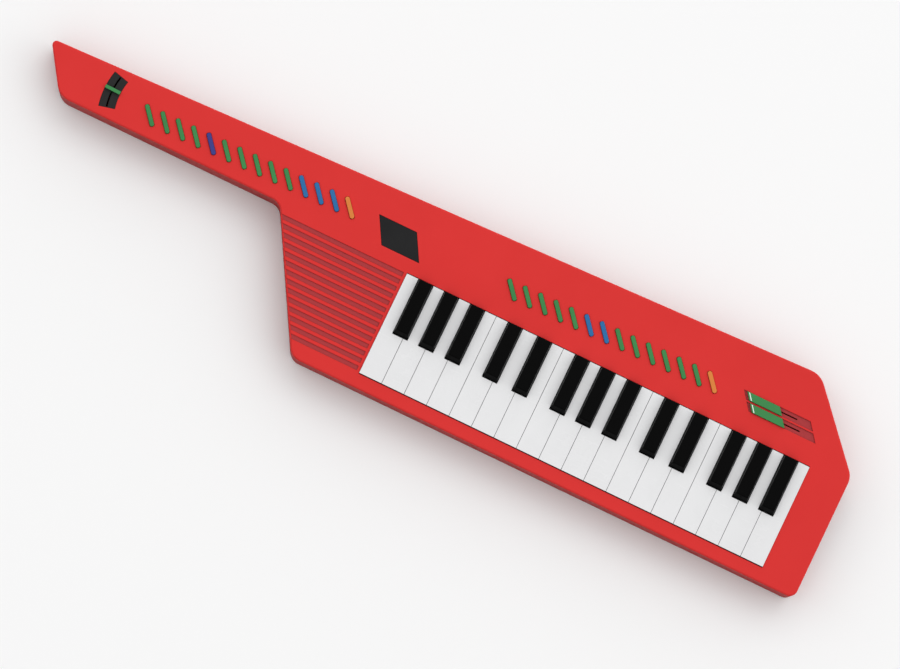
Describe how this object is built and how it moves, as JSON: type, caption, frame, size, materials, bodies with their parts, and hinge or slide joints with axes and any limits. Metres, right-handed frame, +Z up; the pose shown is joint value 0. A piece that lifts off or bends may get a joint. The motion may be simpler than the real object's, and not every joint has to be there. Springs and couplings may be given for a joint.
{
  "type": "keytar",
  "caption": "Shoulder keyboard: slim two-shell casing with a neck for the left hand, small piano keys, slanted push buttons, slide controls and a grooved speaker grille.",
  "frame": {"origin": "under the middle of the casing, on the surface the back rests on", "axes": "+X from the tip of the neck to the right-hand end, +Y away from the player's body to the far edge, +Z up out of the front panel"},
  "size_m": [0.8, 0.1891, 0.048],
  "materials": {
    "red_casing": "moulded, light satin texture",
    "white_keys": "polished",
    "black_keys": "polished",
    "green_buttons": "satin",
    "navy_button": "satin",
    "blue_buttons": "satin",
    "orange_button": "satin",
    "black_trim": "fine spark texture",
    "smoked_window": "smoked, polished",
    "chassis_plastic": "as moulded",
    "rubber": "silicone",
    "board": "solder mask over glass fibre",
    "steel": "nickel plated",
    "pressed_steel": "zinc plated pressing",
    "cone_paper": "doped paper"
  },
  "bodies": {
    "casing": {"top_casing": "red_casing", "bottom_casing": "red_casing", "key_chassis": "chassis_plastic", "key_pivot_rod": "steel", "contact_strip": "rubber", "neck_board": "board", "main_board": "board", "bend_guide": "black_trim", "display_window": "smoked_window", "display_module": "black_trim", "speaker_frame": "pressed_steel", "speaker_cone": "cone_paper", "jack_plate": "black_trim", "phones_jack": "black_trim", "midi_socket": "black_trim", "power_inlet": "black_trim", "strap_pin_neck": "steel", "strap_pin_body": "steel"},
    "battery_door": {"battery_door": "red_casing"},
    "key_F3": {"key_F3": "white_keys"},
    "key_Fs3": {"key_Fs3": "black_keys"},
    "key_G3": {"key_G3": "white_keys"},
    "key_Gs3": {"key_Gs3": "black_keys"},
    "key_A3": {"key_A3": "white_keys"},
    "key_As3": {"key_As3": "black_keys"},
    "key_B3": {"key_B3": "white_keys"},
    "key_C4": {"key_C4": "white_keys"},
    "key_Cs4": {"key_Cs4": "black_keys"},
    "key_D4": {"key_D4": "white_keys"},
    "key_Ds4": {"key_Ds4": "black_keys"},
    "key_E4": {"key_E4": "white_keys"},
    "key_F4": {"key_F4": "white_keys"},
    "key_Fs4": {"key_Fs4": "black_keys"},
    "key_G4": {"key_G4": "white_keys"},
    "key_Gs4": {"key_Gs4": "black_keys"},
    "key_A4": {"key_A4": "white_keys"},
    "key_As4": {"key_As4": "black_keys"},
    "key_B4": {"key_B4": "white_keys"},
    "key_C5": {"key_C5": "white_keys"},
    "key_Cs5": {"key_Cs5": "black_keys"},
    "key_D5": {"key_D5": "white_keys"},
    "key_Ds5": {"key_Ds5": "black_keys"},
    "key_E5": {"key_E5": "white_keys"},
    "key_F5": {"key_F5": "white_keys"},
    "key_Fs5": {"key_Fs5": "black_keys"},
    "key_G5": {"key_G5": "white_keys"},
    "key_Gs5": {"key_Gs5": "black_keys"},
    "key_A5": {"key_A5": "white_keys"},
    "key_As5": {"key_As5": "black_keys"},
    "key_B5": {"key_B5": "white_keys"},
    "neck_buttons_green": {"neck_buttons_green": "green_buttons"},
    "neck_buttons_navy": {"neck_buttons_navy": "navy_button"},
    "neck_buttons_blue": {"neck_buttons_blue": "blue_buttons"},
    "neck_buttons_orange": {"neck_buttons_orange": "orange_button"},
    "body_buttons_green": {"body_buttons_green": "green_buttons"},
    "body_buttons_blue": {"body_buttons_blue": "blue_buttons"},
    "body_buttons_orange": {"body_buttons_orange": "orange_button"},
    "volume_slider": {"volume_slider": "green_buttons"},
    "tempo_slider": {"tempo_slider": "green_buttons"},
    "bend_lever": {"bend_lever": "green_buttons"}
  },
  "joints": [
    {"name": "battery_door_hinge", "type": "hinge", "parent": "casing", "child": "battery_door", "pos_m": [0.118, -0.038, 0.0004], "axis": [0, 1, 0], "range_deg": [0, 95]},
    {"name": "key_F3_press", "type": "hinge", "parent": "casing", "child": "key_F3", "pos_m": [0.166, 0.028, 0.031], "axis": [1, 0, 0], "range_deg": [0, 3.5], "stiffness_Nm_per_rad": 0.3, "springref_deg": -8.59},
    {"name": "key_Fs3_press", "type": "hinge", "parent": "casing", "child": "key_Fs3", "pos_m": [0.166, 0.028, 0.031], "axis": [1, 0, 0], "range_deg": [0, 3.5], "stiffness_Nm_per_rad": 0.3, "springref_deg": -8.59},
    {"name": "key_G3_press", "type": "hinge", "parent": "casing", "child": "key_G3", "pos_m": [0.166, 0.028, 0.031], "axis": [1, 0, 0], "range_deg": [0, 3.5], "stiffness_Nm_per_rad": 0.3, "springref_deg": -8.59},
    {"name": "key_Gs3_press", "type": "hinge", "parent": "casing", "child": "key_Gs3", "pos_m": [0.166, 0.028, 0.031], "axis": [1, 0, 0], "range_deg": [0, 3.5], "stiffness_Nm_per_rad": 0.3, "springref_deg": -8.59},
    {"name": "key_A3_press", "type": "hinge", "parent": "casing", "child": "key_A3", "pos_m": [0.166, 0.028, 0.031], "axis": [1, 0, 0], "range_deg": [0, 3.5], "stiffness_Nm_per_rad": 0.3, "springref_deg": -8.59},
    {"name": "key_As3_press", "type": "hinge", "parent": "casing", "child": "key_As3", "pos_m": [0.166, 0.028, 0.031], "axis": [1, 0, 0], "range_deg": [0, 3.5], "stiffness_Nm_per_rad": 0.3, "springref_deg": -8.59},
    {"name": "key_B3_press", "type": "hinge", "parent": "casing", "child": "key_B3", "pos_m": [0.166, 0.028, 0.031], "axis": [1, 0, 0], "range_deg": [0, 3.5], "stiffness_Nm_per_rad": 0.3, "springref_deg": -8.59},
    {"name": "key_C4_press", "type": "hinge", "parent": "casing", "child": "key_C4", "pos_m": [0.166, 0.028, 0.031], "axis": [1, 0, 0], "range_deg": [0, 3.5], "stiffness_Nm_per_rad": 0.3, "springref_deg": -8.59},
    {"name": "key_Cs4_press", "type": "hinge", "parent": "casing", "child": "key_Cs4", "pos_m": [0.166, 0.028, 0.031], "axis": [1, 0, 0], "range_deg": [0, 3.5], "stiffness_Nm_per_rad": 0.3, "springref_deg": -8.59},
    {"name": "key_D4_press", "type": "hinge", "parent": "casing", "child": "key_D4", "pos_m": [0.166, 0.028, 0.031], "axis": [1, 0, 0], "range_deg": [0, 3.5], "stiffness_Nm_per_rad": 0.3, "springref_deg": -8.59},
    {"name": "key_Ds4_press", "type": "hinge", "parent": "casing", "child": "key_Ds4", "pos_m": [0.166, 0.028, 0.031], "axis": [1, 0, 0], "range_deg": [0, 3.5], "stiffness_Nm_per_rad": 0.3, "springref_deg": -8.59},
    {"name": "key_E4_press", "type": "hinge", "parent": "casing", "child": "key_E4", "pos_m": [0.166, 0.028, 0.031], "axis": [1, 0, 0], "range_deg": [0, 3.5], "stiffness_Nm_per_rad": 0.3, "springref_deg": -8.59},
    {"name": "key_F4_press", "type": "hinge", "parent": "casing", "child": "key_F4", "pos_m": [0.166, 0.028, 0.031], "axis": [1, 0, 0], "range_deg": [0, 3.5], "stiffness_Nm_per_rad": 0.3, "springref_deg": -8.59},
    {"name": "key_Fs4_press", "type": "hinge", "parent": "casing", "child": "key_Fs4", "pos_m": [0.166, 0.028, 0.031], "axis": [1, 0, 0], "range_deg": [0, 3.5], "stiffness_Nm_per_rad": 0.3, "springref_deg": -8.59},
    {"name": "key_G4_press", "type": "hinge", "parent": "casing", "child": "key_G4", "pos_m": [0.166, 0.028, 0.031], "axis": [1, 0, 0], "range_deg": [0, 3.5], "stiffness_Nm_per_rad": 0.3, "springref_deg": -8.59},
    {"name": "key_Gs4_press", "type": "hinge", "parent": "casing", "child": "key_Gs4", "pos_m": [0.166, 0.028, 0.031], "axis": [1, 0, 0], "range_deg": [0, 3.5], "stiffness_Nm_per_rad": 0.3, "springref_deg": -8.59},
    {"name": "key_A4_press", "type": "hinge", "parent": "casing", "child": "key_A4", "pos_m": [0.166, 0.028, 0.031], "axis": [1, 0, 0], "range_deg": [0, 3.5], "stiffness_Nm_per_rad": 0.3, "springref_deg": -8.59},
    {"name": "key_As4_press", "type": "hinge", "parent": "casing", "child": "key_As4", "pos_m": [0.166, 0.028, 0.031], "axis": [1, 0, 0], "range_deg": [0, 3.5], "stiffness_Nm_per_rad": 0.3, "springref_deg": -8.59},
    {"name": "key_B4_press", "type": "hinge", "parent": "casing", "child": "key_B4", "pos_m": [0.166, 0.028, 0.031], "axis": [1, 0, 0], "range_deg": [0, 3.5], "stiffness_Nm_per_rad": 0.3, "springref_deg": -8.59},
    {"name": "key_C5_press", "type": "hinge", "parent": "casing", "child": "key_C5", "pos_m": [0.166, 0.028, 0.031], "axis": [1, 0, 0], "range_deg": [0, 3.5], "stiffness_Nm_per_rad": 0.3, "springref_deg": -8.59},
    {"name": "key_Cs5_press", "type": "hinge", "parent": "casing", "child": "key_Cs5", "pos_m": [0.166, 0.028, 0.031], "axis": [1, 0, 0], "range_deg": [0, 3.5], "stiffness_Nm_per_rad": 0.3, "springref_deg": -8.59},
    {"name": "key_D5_press", "type": "hinge", "parent": "casing", "child": "key_D5", "pos_m": [0.166, 0.028, 0.031], "axis": [1, 0, 0], "range_deg": [0, 3.5], "stiffness_Nm_per_rad": 0.3, "springref_deg": -8.59},
    {"name": "key_Ds5_press", "type": "hinge", "parent": "casing", "child": "key_Ds5", "pos_m": [0.166, 0.028, 0.031], "axis": [1, 0, 0], "range_deg": [0, 3.5], "stiffness_Nm_per_rad": 0.3, "springref_deg": -8.59},
    {"name": "key_E5_press", "type": "hinge", "parent": "casing", "child": "key_E5", "pos_m": [0.166, 0.028, 0.031], "axis": [1, 0, 0], "range_deg": [0, 3.5], "stiffness_Nm_per_rad": 0.3, "springref_deg": -8.59},
    {"name": "key_F5_press", "type": "hinge", "parent": "casing", "child": "key_F5", "pos_m": [0.166, 0.028, 0.031], "axis": [1, 0, 0], "range_deg": [0, 3.5], "stiffness_Nm_per_rad": 0.3, "springref_deg": -8.59},
    {"name": "key_Fs5_press", "type": "hinge", "parent": "casing", "child": "key_Fs5", "pos_m": [0.166, 0.028, 0.031], "axis": [1, 0, 0], "range_deg": [0, 3.5], "stiffness_Nm_per_rad": 0.3, "springref_deg": -8.59},
    {"name": "key_G5_press", "type": "hinge", "parent": "casing", "child": "key_G5", "pos_m": [0.166, 0.028, 0.031], "axis": [1, 0, 0], "range_deg": [0, 3.5], "stiffness_Nm_per_rad": 0.3, "springref_deg": -8.59},
    {"name": "key_Gs5_press", "type": "hinge", "parent": "casing", "child": "key_Gs5", "pos_m": [0.166, 0.028, 0.031], "axis": [1, 0, 0], "range_deg": [0, 3.5], "stiffness_Nm_per_rad": 0.3, "springref_deg": -8.59},
    {"name": "key_A5_press", "type": "hinge", "parent": "casing", "child": "key_A5", "pos_m": [0.166, 0.028, 0.031], "axis": [1, 0, 0], "range_deg": [0, 3.5], "stiffness_Nm_per_rad": 0.3, "springref_deg": -8.59},
    {"name": "key_As5_press", "type": "hinge", "parent": "casing", "child": "key_As5", "pos_m": [0.166, 0.028, 0.031], "axis": [1, 0, 0], "range_deg": [0, 3.5], "stiffness_Nm_per_rad": 0.3, "springref_deg": -8.59},
    {"name": "key_B5_press", "type": "hinge", "parent": "casing", "child": "key_B5", "pos_m": [0.166, 0.028, 0.031], "axis": [1, 0, 0], "range_deg": [0, 3.5], "stiffness_Nm_per_rad": 0.3, "springref_deg": -8.59},
    {"name": "neck_buttons_green_press", "type": "slide", "parent": "casing", "child": "neck_buttons_green", "axis": [0, 0, -1], "range_m": [0, 0.0012], "stiffness_N_per_m": 300, "springref_m": -0.002},
    {"name": "neck_buttons_navy_press", "type": "slide", "parent": "casing", "child": "neck_buttons_navy", "axis": [0, 0, -1], "range_m": [0, 0.0012], "stiffness_N_per_m": 300, "springref_m": -0.002},
    {"name": "neck_buttons_blue_press", "type": "slide", "parent": "casing", "child": "neck_buttons_blue", "axis": [0, 0, -1], "range_m": [0, 0.0012], "stiffness_N_per_m": 300, "springref_m": -0.002},
    {"name": "neck_buttons_orange_press", "type": "slide", "parent": "casing", "child": "neck_buttons_orange", "axis": [0, 0, -1], "range_m": [0, 0.0012], "stiffness_N_per_m": 300, "springref_m": -0.002},
    {"name": "body_buttons_green_press", "type": "slide", "parent": "casing", "child": "body_buttons_green", "axis": [0, 0, -1], "range_m": [0, 0.0012], "stiffness_N_per_m": 300, "springref_m": -0.002},
    {"name": "body_buttons_blue_press", "type": "slide", "parent": "casing", "child": "body_buttons_blue", "axis": [0, 0, -1], "range_m": [0, 0.0012], "stiffness_N_per_m": 300, "springref_m": -0.002},
    {"name": "body_buttons_orange_press", "type": "slide", "parent": "casing", "child": "body_buttons_orange", "axis": [0, 0, -1], "range_m": [0, 0.0012], "stiffness_N_per_m": 300, "springref_m": -0.002},
    {"name": "volume_slider_travel", "type": "slide", "parent": "casing", "child": "volume_slider", "axis": [1, 0, 0], "range_m": [-0.0024, 0.0296]},
    {"name": "tempo_slider_travel", "type": "slide", "parent": "casing", "child": "tempo_slider", "axis": [1, 0, 0], "range_m": [-0.0024, 0.0296]},
    {"name": "bend_lever_turn", "type": "hinge", "parent": "casing", "child": "bend_lever", "pos_m": [-0.2707, 0.0486, 0.022], "axis": [0, 0, 1], "range_deg": [-10.2, 10.2], "stiffness_Nm_per_rad": 0.05}
  ]
}
